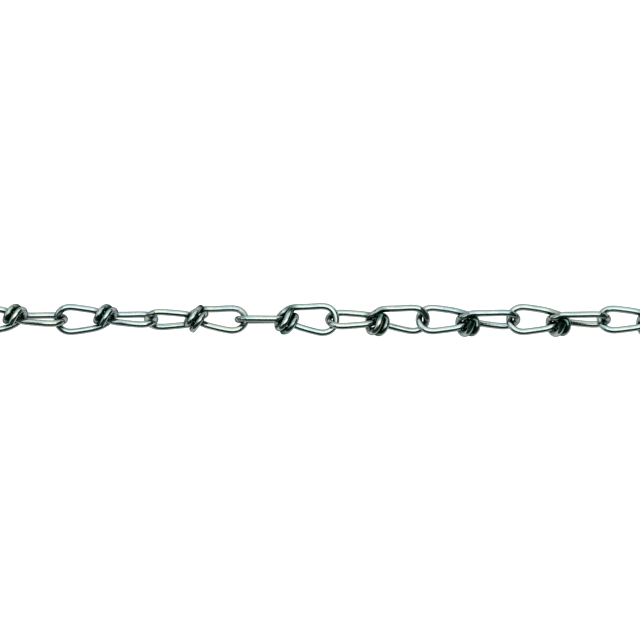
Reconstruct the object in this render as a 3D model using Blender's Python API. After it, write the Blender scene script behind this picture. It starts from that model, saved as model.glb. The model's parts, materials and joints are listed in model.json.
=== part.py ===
"""A straight length of double loop chain, each link knotted from one piece of zinc-plated steel wire."""

import math

import bmesh
import bpy
import numpy as np
from mathutils import Matrix, Vector

# Sizes in metres
WIRE = 0.0034
PITCH = 0.0459
BEND_GAP = 0.0007

# The path of the wire is written in this unit, which is a little less than the wire's thickness
UNIT = 0.0032

# The wire as a faceted tube of the same sectional area as the round wire
SIDES = 8
CORNER_RADIUS = WIRE / 2 * math.sqrt(2 * math.pi / (SIDES * math.sin(2 * math.pi / SIDES)))
FACET_RADIUS = CORNER_RADIUS * math.cos(math.pi / SIDES)

# From a link's middle to the wire's centre line at the end of each loop
REACH = (PITCH + 2 * FACET_RADIUS + BEND_GAP) / 2

# Direction of the through rail of each link's loop to +X, in degrees from straight up towards +Y, from the
# -X end to the +X end. The eighth to the fifteenth are read from the photograph.
ROLLS = (-82, -57, -36, -48, -20, 4, 9,
         -18, -22, -56, -86, -120, -150, -158, -144,
         -162, -186, -214, -192, -165, -180, -152)
ROOT_LINK = 11

# The direction of that rail in a link as it is modelled, before it is rolled
MODELLED_ROLL = 135

# The rails of the two loops, each loop in its own plane, in units: distance from the link's middle, then out
# towards the through rail. Along the wire, from the cut end on the -X loop's side.
LEFT_WIDE_RAIL = ((1.33, -1.38), (2.61, -1.71), (4.3, -2.0))
LEFT_THROUGH_RAIL = ((4.3, 2.0), (2.6, 1.73), (1.33, 1.37))
RIGHT_THROUGH_RAIL = ((1.41, 1.0), (2.0, 1.23), (2.9, 1.52), (4.4, 1.93))
RIGHT_WIDE_RAIL = ((4.3, -2.1), (2.6, -2.01), (1.31, -1.97), (0.45, -1.78))

# The bend at the end of both loops
BEND_START = 5.75
BEND_HALF_WIDTH = 2.14
BEND_STEPS = 6

# The wire inside the knot, in units about the link's middle. The loop to -X wraps first and low, and the
# loop to +X arches over it.
LEFT_WRAP = (
    (-0.62, 1.43, -1.26),
    (-0.14, 0.74, -1.95),
    (0.41, -0.06, -2.23),
    (0.96, -0.77, -1.89),
    (1.38, -1.05, -1.01),
    (1.28, -0.75, -0.01),
    (0.73, -0.23, 0.56),
    (0.13, 0.26, 0.72),
    (-0.52, 0.68, 0.80),
)
THROUGH_STRAND = ((-0.60, -0.50, -0.61), (0.25, 0.17, -0.47))
RIGHT_WRAP = (
    (-0.20, -1.09, 0.89),
    (-0.84, -0.67, 0.57),
    (-1.33, 0.02, 0.17),
    (-1.46, 0.55, -0.85),
    (-1.20, 0.24, -1.84),
    (-0.65, -0.58, -2.20),
    (-0.02, -1.39, -1.68),
    (0.38, -1.76, -0.67),
    (0.69, -1.84, 0.26),
)

# How the rings of the tube are spread along the wire
FINE_STEPS = 1600
RING_COUNT = 47
TURN_WEIGHT = 1.0
LENGTH_WEIGHT = 0.035
TIP_FLAT = 0.62


def loop_points(rail, side):
    """Points of a loop. The loop to +X has side 1. The loop to -X has side -1, a quarter turn round."""
    lean = math.sqrt(0.5)
    return [(side * along, side * out * lean, -out * lean) for along, out in rail]


def bend():
    """The half oval at the end of a loop, from its through rail to its wide rail."""
    depth = REACH / UNIT - BEND_START
    angles = [math.pi * (step / BEND_STEPS - 0.5) for step in range(BEND_STEPS + 1)]
    return [(BEND_START + depth * math.cos(angle), -BEND_HALF_WIDTH * math.sin(angle)) for angle in angles]


def link_waypoints():
    """The whole wire of a link, from one cut end to the other."""
    left = loop_points(LEFT_WIDE_RAIL + tuple(reversed(bend())) + LEFT_THROUGH_RAIL, -1)
    right = loop_points(RIGHT_THROUGH_RAIL + tuple(bend()) + RIGHT_WIDE_RAIL, 1)
    return np.array([*LEFT_WRAP, *left, *THROUGH_STRAND, *right, *RIGHT_WRAP]) * UNIT


def spline(points, count):
    """A natural cubic spline through the points, sampled at even steps of its parameter."""
    knots = np.concatenate([[0], np.cumsum(np.sqrt(np.linalg.norm(np.diff(points, axis=0), axis=1)))])
    widths = np.diff(knots)
    slopes = np.diff(points, axis=0) / widths[:, None]
    system = np.eye(len(points))
    right = np.zeros_like(points)
    for i in range(1, len(points) - 1):
        system[i, i - 1:i + 2] = widths[i - 1], 2 * (widths[i - 1] + widths[i]), widths[i]
        right[i] = 6 * (slopes[i] - slopes[i - 1])
    bends = np.linalg.solve(system, right)
    at = np.linspace(0, knots[-1], count)
    span = np.clip(np.searchsorted(knots, at, side="right") - 1, 0, len(widths) - 1)
    before = (at - knots[span])[:, None]
    after = (knots[span + 1] - at)[:, None]
    width = widths[span][:, None]
    ends = (points[span] / width - bends[span] * width / 6) * after
    ends += (points[span + 1] / width - bends[span + 1] * width / 6) * before
    return ends + (bends[span] * after ** 3 + bends[span + 1] * before ** 3) / (6 * width)


def directions(line):
    """The unit tangent at each point of a fine line."""
    steps = np.gradient(line, axis=0)
    return steps / np.linalg.norm(steps, axis=1)[:, None]


def carried_normals(tangents):
    """A normal carried along the line without twisting about it."""
    normals = [np.cross(tangents[0], (0.0, 0.0, 1.0))]
    for tangent in tangents[1:]:
        normal = normals[-1] - tangent * np.dot(tangent, normals[-1])
        normals.append(normal)
        normals[-1] = normal / np.linalg.norm(normal)
    normals[0] /= np.linalg.norm(normals[0])
    return np.array(normals)


def square_tips(tangents, normals, tips):
    """Sets the wire's direction at both tips exactly square to the chain's line."""
    for tip in tips:
        tangents[tip] *= (0, 1, 1)
        tangents[tip] /= np.linalg.norm(tangents[tip])
        normals[tip] -= tangents[tip] * np.dot(tangents[tip], normals[tip])
        normals[tip] /= np.linalg.norm(normals[tip])


def ring_places(line, tangents, tips):
    """Where the rings of the tube go: an index of the fine line, and a step off it along the wire.

    They are close where the wire bends, far apart on the rails. Each tip of a loop lies midway between two
    rings that share the tip's own frame, so that a facet there is flat and square to the chain's line."""
    turn = np.arccos(np.clip(np.sum(tangents[1:] * tangents[:-1], axis=1), -1, 1))
    length = np.linalg.norm(np.diff(line, axis=0), axis=1) / UNIT
    effort = np.concatenate([[0], np.cumsum(TURN_WEIGHT * turn + LENGTH_WEIGHT * length)])
    along = np.concatenate([[0], np.cumsum(length)])
    edges = [0]
    for tip in tips:
        edges += [int(np.searchsorted(along, along[tip] + side * TIP_FLAT / 2)) for side in (-1, 1)]
    edges.append(len(line) - 1)
    stretches = list(zip(edges[0::2], edges[1::2]))
    total = sum(effort[last] - effort[first] for first, last in stretches)
    half_flat = TIP_FLAT * UNIT / 2
    places = []
    for stretch, (first, last) in enumerate(stretches):
        count = max(3, round((RING_COUNT - 3) * (effort[last] - effort[first]) / total) + 1)
        wanted = np.linspace(effort[first], effort[last], count)
        places += [(int(np.searchsorted(effort, value)), 0.0) for value in wanted]
        if stretch > 0:
            places[-count] = (tips[stretch - 1], half_flat)
        if stretch < len(tips):
            places[-1] = (tips[stretch], -half_flat)
    return places


def facet_turns(line, tangents, normals, tips):
    """The small extra turn of the section along the wire that faces a facet inwards at both tips."""
    along = np.concatenate([[0], np.cumsum(np.linalg.norm(np.diff(line, axis=0), axis=1))])
    needed = []
    for tip in tips:
        inwards = np.array((-np.sign(line[tip][0]), 0.0, 0.0))
        side = np.cross(tangents[tip], normals[tip])
        angle = math.atan2(np.dot(inwards, side), np.dot(inwards, normals[tip]))
        step = 2 * math.pi / SIDES
        offset = (angle - step / 2) % step
        needed.append(offset - step if offset > step / 2 else offset)
    return np.interp(along, along[tips], needed)


def link_mesh():
    """The closed faceted tube of one link."""
    line = spline(link_waypoints(), FINE_STEPS)
    tangents = directions(line)
    normals = carried_normals(tangents)
    tips = [int(np.argmin(line[:, 0])), int(np.argmax(line[:, 0]))]
    square_tips(tangents, normals, tips)
    turns = facet_turns(line, tangents, normals, tips)
    shape = bmesh.new()
    rings = []
    for place, step in ring_places(line, tangents, tips):
        centre = line[place] + tangents[place] * step
        side = np.cross(tangents[place], normals[place])
        ring = []
        for corner in range(SIDES):
            angle = 2 * math.pi * corner / SIDES + turns[place]
            out = normals[place] * math.cos(angle) + side * math.sin(angle)
            ring.append(shape.verts.new(centre + out * CORNER_RADIUS))
        rings.append(ring)
    for near, far in zip(rings, rings[1:]):
        for corner in range(SIDES):
            following = (corner + 1) % SIDES
            face = shape.faces.new((near[corner], near[following], far[following], far[corner]))
            face.smooth = True
    shape.faces.new(rings[0])
    shape.faces.new(rings[-1])
    bmesh.ops.recalc_face_normals(shape, faces=shape.faces)
    mesh = bpy.data.meshes.new("double_loop_link")
    shape.to_mesh(mesh)
    shape.free()
    return mesh


def bright_zinc():
    """Bright zinc-plated steel."""
    material = bpy.data.materials.new("bright_zinc")
    material.use_nodes = True
    shader = material.node_tree.nodes["Principled BSDF"]
    shader.inputs["Base Color"].default_value = (0.62, 0.67, 0.69, 1.0)
    shader.inputs["Metallic"].default_value = 1.0
    shader.inputs["Roughness"].default_value = 0.22
    return material


def link_x(number):
    """Where link number 1, 2, 3 and so on has its middle along the chain."""
    return (number - (len(ROLLS) + 1) / 2) * PITCH


def add_links(mesh):
    """The links in a row, each turned about the chain's line by its own roll."""
    links = []
    for number, roll in enumerate(ROLLS, 1):
        link = bpy.data.objects.new(f"link_{number:02d}", mesh)
        link.location = (link_x(number), 0, 0)
        link.rotation_euler = (math.radians(MODELLED_ROLL - roll), 0, 0)
        bpy.context.scene.collection.objects.link(link)
        links.append(link)
    bpy.context.view_layer.update()
    return links


def set_down(links):
    """Lays the row on the floor with its bounding box centred over the origin. Returns the shift."""
    corners = np.array([link.matrix_world @ vertex.co for link in links for vertex in link.data.vertices])
    low, high = corners.min(axis=0), corners.max(axis=0)
    shift = Vector((-(low[0] + high[0]) / 2, -(low[1] + high[1]) / 2, -low[2]))
    for link in links:
        link.location += shift
    bpy.context.view_layer.update()
    return shift


def pivot_axes(contact):
    """Where and about which line the two links of a contact swing.

    Either link can swing about the wire of the bend it hangs in. Contacts alternate between the more upright
    of the two wires and the more level one, and from side to side in the sign of the axis."""
    left, right = ROLLS[contact - 1], ROLLS[contact] + 90
    choices = ((link_x(contact) + REACH, left), (link_x(contact + 1) - REACH, right))
    upright = [abs(math.cos(math.radians(angle))) for _, angle in choices]
    chosen = upright.index(max(upright) if contact % 2 else min(upright))
    x, angle = choices[chosen]
    axis = Vector((0, math.sin(math.radians(angle)), math.cos(math.radians(angle))))
    leading = axis.z if contact % 2 else axis.y
    wanted = 1 if contact // 2 % 2 else -1
    return x, axis if leading * wanted > 0 else -axis


def add_pivots(links, shift):
    """An empty on the line of each hinge, with its Z along it. The moving link hangs from it."""
    for contact in range(1, len(links)):
        x, axis = pivot_axes(contact)
        moved = links[contact] if contact >= ROOT_LINK else links[contact - 1]
        pivot = bpy.data.objects.new(f"pivot_{moved.name}", None)
        pivot.empty_display_size = 2 * WIRE
        turn = Vector((0, 0, 1)).rotation_difference(axis).to_matrix().to_4x4()
        pivot.matrix_world = Matrix.Translation(Vector((x, 0, 0)) + shift) @ turn
        bpy.context.scene.collection.objects.link(pivot)
        bpy.context.view_layer.update()
        moved.parent = pivot
        moved.matrix_parent_inverse = pivot.matrix_world.inverted()


def build():
    for old in list(bpy.data.objects):
        bpy.data.objects.remove(old)
    mesh = link_mesh()
    mesh.materials.append(bright_zinc())
    links = add_links(mesh)
    add_pivots(links, set_down(links))


build()
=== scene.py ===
# %% [markdown]
# # A length of double loop chain
#
# This lesson dresses a imported model of a straight run of chain. Each link of the real chain is one piece of
# zinc-plated steel wire: a loop at either end, a quarter turn apart, and a knot in the middle where the
# wire's two ends are wrapped round its own middle. Nothing is welded. The imported model already has every
# link in its place as a tube with eight flat sides, so here each one is replaced by a round, finely bent
# wire with a plated finish.
#
# The first cell loads the imported model. Its box is kept.

# %% Load the imported model
import json
import math

import bmesh
import bpy
import numpy as np
from mathutils import Matrix, Vector


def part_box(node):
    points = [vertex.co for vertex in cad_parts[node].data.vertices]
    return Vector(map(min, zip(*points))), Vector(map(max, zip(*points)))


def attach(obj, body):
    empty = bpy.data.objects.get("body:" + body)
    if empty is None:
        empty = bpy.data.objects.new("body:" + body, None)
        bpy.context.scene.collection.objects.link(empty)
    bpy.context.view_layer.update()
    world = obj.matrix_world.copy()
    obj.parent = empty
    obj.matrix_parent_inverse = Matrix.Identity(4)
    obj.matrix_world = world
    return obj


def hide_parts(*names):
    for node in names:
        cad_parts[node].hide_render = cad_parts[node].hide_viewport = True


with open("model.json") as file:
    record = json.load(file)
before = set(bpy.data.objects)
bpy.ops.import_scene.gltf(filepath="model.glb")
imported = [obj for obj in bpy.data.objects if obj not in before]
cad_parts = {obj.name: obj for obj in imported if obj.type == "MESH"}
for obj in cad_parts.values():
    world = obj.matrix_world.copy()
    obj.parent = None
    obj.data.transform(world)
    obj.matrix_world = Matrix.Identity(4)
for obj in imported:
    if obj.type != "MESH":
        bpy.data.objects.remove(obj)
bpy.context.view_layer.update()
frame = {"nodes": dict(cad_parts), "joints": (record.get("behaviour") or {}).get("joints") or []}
link_names = sorted(frame["nodes"])

# %% [markdown]
# ## Where each link is
#
# All the links hang on one straight line, the line that a pull on the chain follows. Every hinge of the
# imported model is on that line, so it is read from there. A link's own middle is the middle of its box along
# X. How far each link is rolled about the line can't be read from its box, so the rolls are written out.
# They are the direction of the through rail of the loop to +X, in degrees from straight up towards +Y. The
# through rail is the side of a loop whose wire runs on through the knot.

# %% The line of the chain and the rolls of its links
WIRE = 0.0034
ROLLS = (-82, -57, -36, -48, -20, 4, 9,
         -18, -22, -56, -86, -120, -150, -158, -144,
         -162, -186, -214, -192, -165, -180, -152)
line_y, line_z = frame["joints"][0]["pos_m"][1:]


def middle_of(node):
    """The middle of a link, on the line of the chain."""
    low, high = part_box(node)
    return Vector(((low.x + high.x) / 2, line_y, line_z))


middles = [middle_of(name) for name in link_names]
PITCH = (middles[-1].x - middles[0].x) / (len(middles) - 1)
REACH = (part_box(link_names[0])[1].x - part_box(link_names[0])[0].x - WIRE) / 2
print("pitch", round(1000 * PITCH, 2), "mm, reach", round(1000 * REACH, 2), "mm")

# %% [markdown]
# ## The camera
#
# The photograph looks straight down on the chain from far away, so nearby and distant wires have the same
# size in it. A long lens high above the floor gives that. One pitch of the chain is 90.5 pixels of the
# picture's 640, which sets how much of the chain the camera takes in, and the eleventh link stands a little
# to the left of the middle.

# %% Camera
PICTURE = 640
PIXELS_PER_PITCH = 90.5
ELEVENTH_LINK_AT = (287.0, 319.5)
LENS, SENSOR = 200.0, 36.0

eleventh_link = middles[10]
metres_per_pixel = PITCH / PIXELS_PER_PITCH
view_width = PICTURE * metres_per_pixel
height = view_width / 2 / (SENSOR / 2 / LENS)
camera_data = bpy.data.cameras.new("camera_above")
camera_data.lens = LENS
camera_data.sensor_width = SENSOR
camera = bpy.data.objects.new("camera_above", camera_data)
camera.location = (
    eleventh_link.x + (PICTURE / 2 - ELEVENTH_LINK_AT[0]) * metres_per_pixel,
    line_y - (PICTURE / 2 - ELEVENTH_LINK_AT[1]) * metres_per_pixel,
    line_z + height,
)
bpy.context.scene.collection.objects.link(camera)
bpy.context.scene.camera = camera
print("the camera takes in", round(1000 * view_width), "mm from", round(height, 2), "m up")

# %% [markdown]
# ## Floor and light
#
# The chain lies on plain white. The floor glows a little as well as taking light, as a lit table top does,
# so that shadows on it stay faint. Bright plated metal shows what is around it more than its own colour:
# the wires are light where they face the lamps and almost black where they face the dark room. So one lamp
# hangs overhead, another stands beyond the chain, and a third stands to the left, where it lights the left
# sides of the bends and knots. All are wide and soft, and the room around them is a dark blue-green.

# %% Floor
FLOOR_SIZE = 6.0
FLOOR_GREY = 0.15
FLOOR_GLOW = 0.92


def add_floor():
    """A wide white floor under the chain."""
    bpy.ops.object.select_all(action="DESELECT")
    bpy.ops.mesh.primitive_plane_add(size=FLOOR_SIZE, location=(0, 0, 0))
    floor = bpy.context.active_object
    floor.name = "floor"
    paint = bpy.data.materials.new("white_floor")
    paint.use_nodes = True
    shader = paint.node_tree.nodes["Principled BSDF"]
    shader.inputs["Base Color"].default_value = (FLOOR_GREY, FLOOR_GREY, FLOOR_GREY, 1)
    shader.inputs["Roughness"].default_value = 0.9
    shader.inputs["Specular IOR Level"].default_value = 0.1
    shader.inputs["Emission Color"].default_value = (1, 1, 1, 1)
    shader.inputs["Emission Strength"].default_value = FLOOR_GLOW
    floor.data.materials.append(paint)
    return floor


print("floor,", round(add_floor().dimensions.x, 1), "m wide")

# %% [markdown]
# ## Lamps and room
#
# Each lamp is a wide rectangle that faces the middle of the chain. A large lamp gives a broad, soft-edged
# band of light along a round wire, where a small one would give a thin bright line.

# %% Lamps and room
# Name, place, width and height in metres, power in watts, colour
LAMPS = (
    ("lamp_overhead", (0, 0.35, 2.3), (3.0, 1.75), 42, (0.95, 1.0, 0.99)),
    ("lamp_far_side", (0, 1.5, 1.05), (3.0, 1.7), 27, (0.96, 1.0, 0.99)),
    ("lamp_left", (-2.2, 0.5, 1.4), (2.2, 1.8), 17, (0.96, 1.0, 0.98)),
)
LAMPS_FACE = Vector((0, 0, 0))
DARK_ROOM = (0.03, 0.075, 0.055, 1)


def add_lamp(name, place, size, power, colour):
    """A soft rectangular lamp that faces the middle of the chain."""
    data = bpy.data.lights.new(name, "AREA")
    data.shape = "RECTANGLE"
    data.size, data.size_y = size
    data.energy = power
    data.color = colour
    lamp = bpy.data.objects.new(name, data)
    lamp.location = place
    lamp.rotation_euler = (LAMPS_FACE - Vector(place)).to_track_quat("-Z", "Y").to_euler()
    bpy.context.scene.collection.objects.link(lamp)


for lamp_values in LAMPS:
    add_lamp(*lamp_values)
room = bpy.data.worlds.new("room")
room.use_nodes = True
room.node_tree.nodes["Background"].inputs["Color"].default_value = DARK_ROOM
room.node_tree.nodes["Background"].inputs["Strength"].default_value = 1.0
bpy.context.scene.world = room
bpy.context.scene.view_settings.view_transform = "Standard"
bpy.context.scene.view_settings.look = "Medium High Contrast"
print(len(LAMPS), "lamps in a dark room")

# %% [markdown]
# ## The path of the wire
#
# A bender of such chain thinks of one link as one wire. The loop to -X is closed first: the wire comes back
# from it low, slips through the neck of the other loop, goes down in front and under, and is cut off
# behind. Its other side runs on through the middle of the knot into the loop to +X. That loop's wire comes
# back wide, arches over all of the knot, passes down behind it and under, and is cut off in front. The two
# loops' sides are written in their own planes, and the wraps as points about the link's middle, all in a
# unit a little less than the wire's thickness.
#
# The path could be drawn as a curve by hand. It is written as points, because the strands pass about a
# third of a millimetre from each other, and that can be checked on numbers. The points of the wraps and of
# the strand between them, and those of the rails next to the knot, were placed and then moved by a
# fitting program, by up to a millimetre and a half, until the strands cleared each other and hardly a gap
# could be seen through the knot. So they are fitted numbers, not the result of a rule.

# %% Points that the wire passes through
UNIT = 0.0032
LEFT_WIDE_RAIL = ((1.33, -1.38), (2.61, -1.71), (4.3, -2.0))
LEFT_THROUGH_RAIL = ((4.3, 2.0), (2.6, 1.73), (1.33, 1.37))
RIGHT_THROUGH_RAIL = ((1.41, 1.0), (2.0, 1.23), (2.9, 1.52), (4.4, 1.93))
RIGHT_WIDE_RAIL = ((4.3, -2.1), (2.6, -2.01), (1.31, -1.97), (0.45, -1.78))
BEND_START = 5.75
BEND_HALF_WIDTH = 2.14
BEND_STEPS = 6
LEFT_WRAP = (
    (-0.62, 1.43, -1.26),
    (-0.14, 0.74, -1.95),
    (0.41, -0.06, -2.23),
    (0.96, -0.77, -1.89),
    (1.38, -1.05, -1.01),
    (1.28, -0.75, -0.01),
    (0.73, -0.23, 0.56),
    (0.13, 0.26, 0.72),
    (-0.52, 0.68, 0.80),
)
THROUGH_STRAND = ((-0.60, -0.50, -0.61), (0.25, 0.17, -0.47))
RIGHT_WRAP = (
    (-0.20, -1.09, 0.89),
    (-0.84, -0.67, 0.57),
    (-1.33, 0.02, 0.17),
    (-1.46, 0.55, -0.85),
    (-1.20, 0.24, -1.84),
    (-0.65, -0.58, -2.20),
    (-0.02, -1.39, -1.68),
    (0.38, -1.76, -0.67),
    (0.69, -1.84, 0.26),
)


def loop_points(rail, side):
    """Points of a loop. The loop to +X has side 1. The loop to -X has side -1, a quarter turn round."""
    lean = math.sqrt(0.5)
    return [(side * along, side * out * lean, -out * lean) for along, out in rail]


def bend():
    """The half oval at the end of a loop, from its through rail to its wide rail."""
    depth = REACH / UNIT - BEND_START
    angles = [math.pi * (step / BEND_STEPS - 0.5) for step in range(BEND_STEPS + 1)]
    return [(BEND_START + depth * math.cos(angle), -BEND_HALF_WIDTH * math.sin(angle)) for angle in angles]


left_loop = loop_points(LEFT_WIDE_RAIL + tuple(reversed(bend())) + LEFT_THROUGH_RAIL, -1)
right_loop = loop_points(RIGHT_THROUGH_RAIL + tuple(bend()) + RIGHT_WIDE_RAIL, 1)
link_points = np.array([*LEFT_WRAP, *left_loop, *THROUGH_STRAND, *right_loop, *RIGHT_WRAP]) * UNIT
print(len(link_points), "points a link")

# %% [markdown]
# ## A smooth wire through the points
#
# Steel wire that is bent by hand tools curves smoothly, with no corner where one bend meets the next. A
# natural cubic spline has that property, and Blender's automatic handles don't: they keep the direction
# smooth, but not how sharply the wire bends. So the slope of the wire at each point is found from a spline.
# Blender's Bezier curve can then follow it exactly: each point gets handles that lie a third of the way
# along its slope.

# %% Slopes and handles
def spline_slopes(points):
    """The parameter at each point and the slope of the natural cubic spline there."""
    knots = np.concatenate([[0], np.cumsum(np.sqrt(np.linalg.norm(np.diff(points, axis=0), axis=1)))])
    widths = np.diff(knots)
    rises = np.diff(points, axis=0) / widths[:, None]
    system = np.eye(len(points))
    right = np.zeros_like(points)
    for i in range(1, len(points) - 1):
        system[i, i - 1:i + 2] = widths[i - 1], 2 * (widths[i - 1] + widths[i]), widths[i]
        right[i] = 6 * (rises[i] - rises[i - 1])
    bends = np.linalg.solve(system, right)
    slopes = np.empty_like(points)
    slopes[:-1] = rises - widths[:, None] * (2 * bends[:-1] + bends[1:]) / 6
    slopes[-1] = rises[-1] + widths[-1] * (bends[-2] + 2 * bends[-1]) / 6
    return knots, slopes


knots, slopes = spline_slopes(link_points)
before = np.concatenate([[0], np.diff(knots)])[:, None]
after = np.concatenate([np.diff(knots), [0]])[:, None]
handles_left = link_points - slopes * before / 3
handles_right = link_points + slopes * after / 3
print("handles for", len(knots), "points")

# %% [markdown]
# ## One link as a bevelled curve
#
# A tube could be extruded ring by ring, but along this path that would take over three hundred steps. The
# link starts as Blender's Bezier curve instead. It gets the points and handles, and a round bevel of half
# the wire's thickness, which makes it a wire. Converted to a mesh, it is a tube whose vertices come in
# rings, one after another along the wire. That order is used for a UV map: U is the distance along the wire
# and V the distance round it, both in metres. The marks of drawing and bending follow the wire, so the
# finish is painted in this map.

# %% Make the wire
RING_SIDES = 28
STEPS_PER_POINT = 7


def add_wire():
    """The bevelled curve of one link, converted to a mesh."""
    bpy.ops.object.select_all(action="DESELECT")
    bpy.ops.curve.primitive_bezier_curve_add(location=(0, 0, 0))
    wire = bpy.context.active_object
    wire.name = "link_master"
    curve = wire.data
    curve.dimensions = "3D"
    curve.resolution_u = STEPS_PER_POINT
    curve.bevel_depth = WIRE / 2
    curve.bevel_resolution = (RING_SIDES - 4) // 2
    curve.use_fill_caps = True
    points = curve.splines[0].bezier_points
    points.add(len(link_points) - len(points))
    for point, place, left, right in zip(points, link_points, handles_left, handles_right):
        point.handle_left_type = point.handle_right_type = "FREE"
        point.co, point.handle_left, point.handle_right = place, left, right
    bpy.ops.object.convert(target="MESH")
    return bpy.context.active_object


master = add_wire()
print(len(master.data.vertices), "vertices,", len(master.data.polygons), "faces")

# %% [markdown]
# ## The map along the wire
#
# Unwrapping the tube would give a map too, but one that had to be straightened and scaled afterwards. The
# rings are numbered in order, so here a vertex's place in its ring gives V and its ring's distance along
# the wire gives U.

# %% UV map in metres
def rings_of(mesh):
    """The tube's vertices as an array of rings."""
    places = np.empty(len(mesh.vertices) * 3)
    mesh.vertices.foreach_get("co", places)
    return places.reshape(-1, RING_SIDES, 3)


def map_along(mesh):
    """Writes a UV map whose U runs along the wire and whose V runs round it."""
    rings = rings_of(mesh)
    centres = rings.mean(axis=1)
    along = np.concatenate([[0], np.cumsum(np.linalg.norm(np.diff(centres, axis=0), axis=1))])
    while mesh.uv_layers:
        mesh.uv_layers.remove(mesh.uv_layers[0])
    layer = mesh.uv_layers.new(name="along_wire")
    step = math.pi * WIRE / RING_SIDES
    for face in mesh.polygons:
        sides = [mesh.loops[i].vertex_index % RING_SIDES for i in face.loop_indices]
        # On a face that closes the ring, side 0 counts as one past the last side
        crosses = max(sides) - min(sides) > RING_SIDES / 2
        for i, side in zip(face.loop_indices, sides):
            turn = side + RING_SIDES if crosses and side < RING_SIDES / 2 else side
            layer.data[i].uv = (along[mesh.loops[i].vertex_index // RING_SIDES], turn * step)
    return along[-1]


wire_length = map_along(master.data)
print("wire in one link:", round(1000 * wire_length, 1), "mm")

# %% [markdown]
# ## Where shade is painted in
#
# The inside of each knot, and the inside of each bend, where the next link rubs, get painted shade: a dark
# colour laid into the plating where the strands crowd together. An ambient occlusion node would look for
# such places again at every sample of a render. Instead, how near every point of the wire's skin is to
# another strand, or to the next link's, is measured once and kept on the mesh as a number from 0, open, to
# 1, pressed together. The finish reads it later to paint the shade.

# %% Measure how sheltered the skin is
SHELTER_REACH = WIRE
SAME_STRAND = 2.4 * WIRE
HANGING_HALF_LENGTH = 1.5 * WIRE
HANGING_POINTS = 7
PLAINLY_SHELTERED = 0.3


def bends_of_the_next_links():
    """Points along the two wires that hang in this link's bends, square to the plane of each loop."""
    steps = np.linspace(-HANGING_HALF_LENGTH, HANGING_HALF_LENGTH, HANGING_POINTS) * math.sqrt(0.5)
    return np.array([(side * (PITCH - REACH), step, side * step) for side in (-1, 1) for step in steps])


def mark_shelter(mesh):
    """Keeps, for each vertex, how close the nearest other strand or hanging wire is."""
    rings = rings_of(mesh)
    hanging = bends_of_the_next_links()
    centres = rings.mean(axis=1)
    along = np.concatenate([[0], np.cumsum(np.linalg.norm(np.diff(centres, axis=0), axis=1))])
    shelter = np.zeros(rings.shape[:2])
    for number, ring in enumerate(rings):
        others = np.vstack([centres[np.abs(along - along[number]) > SAME_STRAND], hanging])
        gaps = np.linalg.norm(ring[:, None] - others[None], axis=2).min(axis=1) - WIRE / 2
        shelter[number] = np.clip(1 - gaps / SHELTER_REACH, 0, 1)
    # The painted shade of the finish reads this number
    layer = mesh.attributes.new("shelter", "FLOAT", "POINT")
    layer.data.foreach_set("value", shelter.ravel())
    return shelter


sheltered = mark_shelter(master.data)
print("sheltered share of the skin:", round(float((sheltered > PLAINLY_SHELTERED).mean()), 2))

# %% [markdown]
# ## The cut ends
#
# The wire's ends were cropped by a tool, which leaves a flat face with a rounded rim. In edit mode the two
# end faces are selected and inset three times: twice outwards for the rim, and once inwards for the faint
# hollow that the blade leaves. A bevel would round the rim as well, but not make the hollow.

# %% Round the rims of the cut ends
RIM = 0.00022
# How far in and how far out each inset goes, in rims
INSETS = ((0.35, 0.7), (0.7, 0.35), (2.2, -0.3))
FACES_MEET_SMOOTHLY = math.radians(40)


def finish_ends(wire):
    """Rounds the rim of both end faces and hollows them a little."""
    bpy.ops.object.select_all(action="DESELECT")
    wire.select_set(True)
    bpy.context.view_layer.objects.active = wire
    bpy.ops.object.mode_set(mode="EDIT")
    bpy.ops.mesh.select_all(action="DESELECT")
    shape = bmesh.from_edit_mesh(wire.data)
    # Only the two end faces have more than four corners
    for face in shape.faces:
        face.select = len(face.verts) > 4
    bmesh.update_edit_mesh(wire.data)
    for inwards, outwards in INSETS:
        bpy.ops.mesh.inset(thickness=RIM * inwards, depth=RIM * outwards)
    bpy.ops.mesh.select_all(action="SELECT")
    bpy.ops.mesh.normals_make_consistent(inside=False)
    bpy.ops.object.mode_set(mode="OBJECT")
    bpy.ops.object.shade_smooth_by_angle(angle=FACES_MEET_SMOOTHLY)


finish_ends(master)
print(len(master.data.polygons), "faces with the ends finished")

# %% [markdown]
# ## Bright zinc
#
# Electroplated zinc is a bluish bright metal. It isn't a mirror: drawing the wire left fine lines along it,
# the tools that bent it left faint rings and rubs, and the plating itself has a soft grain. Its shine and
# tint change a little from place to place, with a straw or blue cast where the clear passivation is
# thicker. A picture of plating could be wrapped round the wire, but its seams and repeats would show. Each
# of these marks is one noise pattern here, and all of them are fine enough to keep the wire round.

# %% Nodes for the plating
def add_node(tree, kind, **settings):
    """A node with some of its settings and input values filled in."""
    node = tree.nodes.new(kind)
    for name, value in settings.items():
        if name in node.inputs:
            node.inputs[name].default_value = value
        else:
            setattr(node, name, value)
    return node


def stretched_noise(tree, source, scale, detail=2.0, rough=0.55):
    """Noise read through a mapping that stretches it by scale along each axis."""
    mapping = add_node(tree, "ShaderNodeMapping")
    mapping.inputs["Scale"].default_value = scale
    noise = add_node(tree, "ShaderNodeTexNoise", Scale=1.0, Detail=detail, Roughness=rough)
    tree.links.new(source, mapping.inputs["Vector"])
    tree.links.new(mapping.outputs["Vector"], noise.inputs["Vector"])
    return noise.outputs["Fac"]


def remap(tree, source, low, high, to_low, to_high):
    """A value moved from one range into another, and kept inside it."""
    node = add_node(tree, "ShaderNodeMapRange")
    node.inputs["From Min"].default_value = low
    node.inputs["From Max"].default_value = high
    node.inputs["To Min"].default_value = to_low
    node.inputs["To Max"].default_value = to_high
    tree.links.new(source, node.inputs["Value"])
    return node.outputs["Result"]


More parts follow.
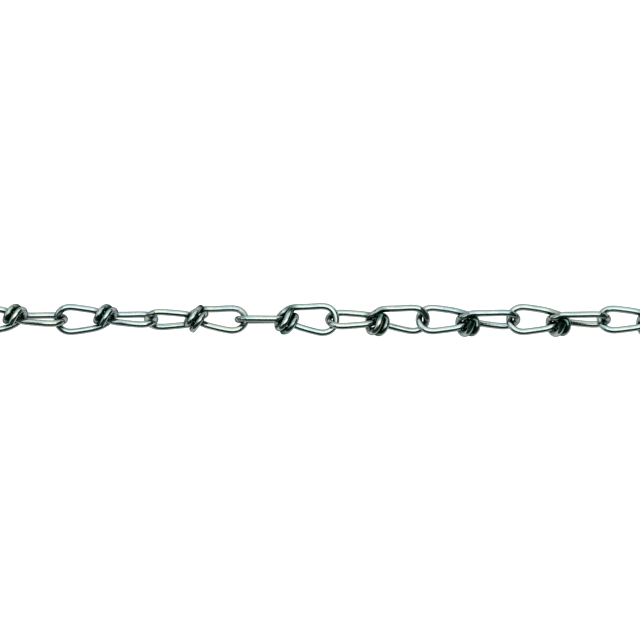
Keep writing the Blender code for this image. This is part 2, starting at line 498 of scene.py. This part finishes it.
def cast_over(colour, cast):
    """A colour with a cast over it, and full alpha."""
    return (*[channel * tone for channel, tone in zip(colour, cast)], 1)


print("helpers for noise, ranges and casts")

# %% [markdown]
# ## The colour of the plating
#
# The tint drifts between three close tones of zinc, from bluish to straw, in soft clouds along the wire.
# Where the skin is sheltered, in knots and bends, a green-black painted shade takes over.

# %% Colour of the plating
BLUISH_ZINC = (0.25, 0.31, 0.33)
PLAIN_ZINC = (0.32, 0.36, 0.36)
STRAW_ZINC = (0.39, 0.38, 0.34)
# The green-black of the painted shade in knots and bends
PAINTED_SHADE_COLOUR = (0.06, 0.11, 0.09, 1)
BLUISH_AT, PLAIN_AT, STRAW_AT = 0.3, 0.5, 0.72
# How sheltered the skin is where the painted shade starts and where it is full
SHADE_FROM, SHADE_FULL = 0.15, 0.75
CLOUDS = (160, 260, 1)


def plating_colour(tree, along, cast):
    """The drifting tint of the plating, with painted shade where the skin is sheltered."""
    tint = add_node(tree, "ShaderNodeValToRGB")
    tint.color_ramp.elements[0].position = BLUISH_AT
    tint.color_ramp.elements[0].color = cast_over(BLUISH_ZINC, cast)
    tint.color_ramp.elements[1].position = STRAW_AT
    tint.color_ramp.elements[1].color = cast_over(STRAW_ZINC, cast)
    tint.color_ramp.elements.new(PLAIN_AT).color = cast_over(PLAIN_ZINC, cast)
    tree.links.new(stretched_noise(tree, along, CLOUDS), tint.inputs["Fac"])
    # Painted shade over the tint, by how sheltered the skin is
    shelter = add_node(tree, "ShaderNodeAttribute", attribute_name="shelter")
    shade_amount = remap(tree, shelter.outputs["Fac"], SHADE_FROM, SHADE_FULL, 0.0, 1.0)
    shade_mix = add_node(tree, "ShaderNodeMix", data_type="RGBA")
    shade_mix.inputs["B"].default_value = PAINTED_SHADE_COLOUR
    tree.links.new(shade_amount, shade_mix.inputs["Factor"])
    tree.links.new(tint.outputs["Color"], shade_mix.inputs["A"])
    return shade_mix.outputs["Result"]


print("clouds of about", round(1000 / CLOUDS[0]), "mm along the wire")

# %% [markdown]
# ## The relief of the plating
#
# Three bump nodes in a row lay fine relief on the skin: the lines that drawing left, the grain of the zinc,
# and the shallow rubs of the tools that bent the wire. Marks that changed the wire's outline would have to
# be modelled, but all of these are less than a tenth of a millimetre high.

# %% Relief of the plating
# Noise scale along and round the wire, bump strength, height in metres
DRAW_LINES = ((260, 9000, 1), 0.10, 0.00003)
GRAIN = ((5200, 5200, 1), 0.08, 0.00003)
DENTS = ((700, 500, 1), 0.25, 0.00008)


def plating_relief(tree, along):
    """The bumps of the plating, each laid on the one before it."""
    below = None
    for scale, strength, height in (DRAW_LINES, GRAIN, DENTS):
        bump = add_node(tree, "ShaderNodeBump", Strength=strength, Distance=height)
        tree.links.new(stretched_noise(tree, along, scale), bump.inputs["Height"])
        if below is not None:
            tree.links.new(below, bump.inputs["Normal"])
        below = bump.outputs["Normal"]
    return below


print("relief up to", round(1000 * DENTS[-1], 2), "mm high")

# %% [markdown]
# ## Four finishes
#
# The colour, the relief and an uneven shine are put together in one shader. It is made four times, with the
# patterns moved along and a slightly different cast, so that neighbouring links don't look stamped from one
# piece.

# %% Finishes
EDGE_TINT = (0.12, 0.14, 0.13, 1)
RUBS = (420, 900, 1)
RUBS_FROM, RUBS_FULL = 0.35, 0.7
SMOOTHEST, ROUGHEST = 0.10, 0.22
CASTS = ((0.97, 0.99, 1.01), (1.02, 1.01, 0.98), (0.98, 1.01, 0.99), (1.03, 1.01, 0.96))
SHIFT_ALONG, SHIFT_ROUND = 0.231, 0.08547


def bright_zinc(number, cast):
    """The plated finish, with its patterns moved by its number and a cast over its colour."""
    paint = bpy.data.materials.new(f"bright_zinc_{number + 1}")
    paint.use_nodes = True
    tree = paint.node_tree
    shader = tree.nodes["Principled BSDF"]
    shader.inputs["Metallic"].default_value = 1.0
    shader.inputs["Specular Tint"].default_value = EDGE_TINT
    uv = add_node(tree, "ShaderNodeUVMap", uv_map="along_wire")
    moved = add_node(tree, "ShaderNodeMapping")
    moved.inputs["Location"].default_value = (SHIFT_ALONG * number, SHIFT_ROUND * number, 0)
    tree.links.new(uv.outputs["UV"], moved.inputs["Vector"])
    along = moved.outputs["Vector"]
    rubs = stretched_noise(tree, along, RUBS, detail=4.0, rough=0.6)
    tree.links.new(remap(tree, rubs, RUBS_FROM, RUBS_FULL, SMOOTHEST, ROUGHEST), shader.inputs["Roughness"])
    tree.links.new(plating_colour(tree, along, cast), shader.inputs["Base Color"])
    tree.links.new(plating_relief(tree, along), shader.inputs["Normal"])
    return paint


FINISHES = [bright_zinc(number, cast) for number, cast in enumerate(CASTS)]
print(len(FINISHES), "finishes of the same plating")

# %% [markdown]
# ## The whole chain
#
# An array modifier could repeat the link, but it gives a single object, and each link has to move by
# itself. So every link is a copy of the one that was made, with its own mesh. It is rolled about the line
# of the chain and moved to its place, and both are applied, so that the finished piece sits at the origin
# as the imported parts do. Each copy then rides with its own packed link and stands in for it. The packed
# tube's flat facets cut the corners of its bends a little, so the smooth wire is brought in by one part in
# sixty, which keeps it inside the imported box.

# %% Copy, roll and place the links
SNUG = Matrix.Diagonal((1, 0.983, 0.983, 1))
# The direction of the through rail in the link as it was made, before it is rolled
MODELLED_ROLL = 135


def place_link(number, name):
    """The copy of the finished link that stands for one packed link."""
    mesh = master.data.copy()
    mesh.name = f"wire_{name}"
    piece = bpy.data.objects.new(f"wire_{name}", mesh)
    bpy.context.scene.collection.objects.link(piece)
    roll = Matrix.Rotation(math.radians(MODELLED_ROLL - ROLLS[number]), 4, "X")
    mesh.transform(Matrix.Translation(middles[number]) @ SNUG @ roll)
    mesh.materials.clear()
    mesh.materials.append(FINISHES[number % len(FINISHES)])
    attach(piece, name)
    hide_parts(name)
    return piece


pieces = [place_link(number, name) for number, name in enumerate(link_names)]
bpy.data.objects.remove(master)
print(len(pieces), "links placed")
